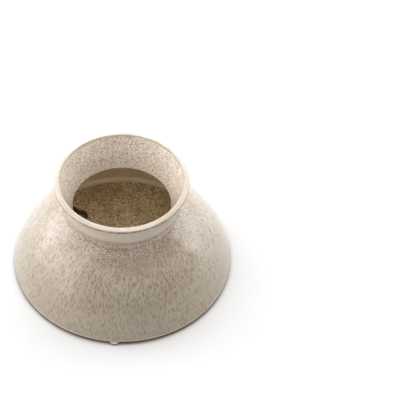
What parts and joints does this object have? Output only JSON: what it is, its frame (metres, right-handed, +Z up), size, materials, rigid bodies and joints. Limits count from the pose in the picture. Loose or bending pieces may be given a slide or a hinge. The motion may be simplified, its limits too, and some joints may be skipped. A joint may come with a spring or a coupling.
{
  "type": "wall-hung stoneware vessel",
  "caption": "Open ceramic vessel with a wide bowed skirt, flared collar, keyhole floor for hanging and clear bumpers beneath.",
  "frame": {"origin": "on the vessel's axis at the table, which is the bottom of the bumpers", "axes": "+Z up through the mouth, +Y from the axis to the keyhole's narrow end, which is up when the vessel hangs"},
  "size_m": [0.1514, 0.1514, 0.0837],
  "materials": {
    "speckled_glaze": "cream stoneware glaze with fine brown speckle, soft gloss",
    "inner_glaze": "the same speckled glaze, thinner and browner on the inside",
    "clear_bumper": "clear soft polyurethane"
  },
  "bodies": {
    "root": {"shell": "speckled_glaze", "floor_disc": "inner_glaze", "floor_seam": "inner_glaze", "pad_1": "clear_bumper", "pad_2": "clear_bumper", "pad_3": "clear_bumper"}
  },
  "joints": []
}
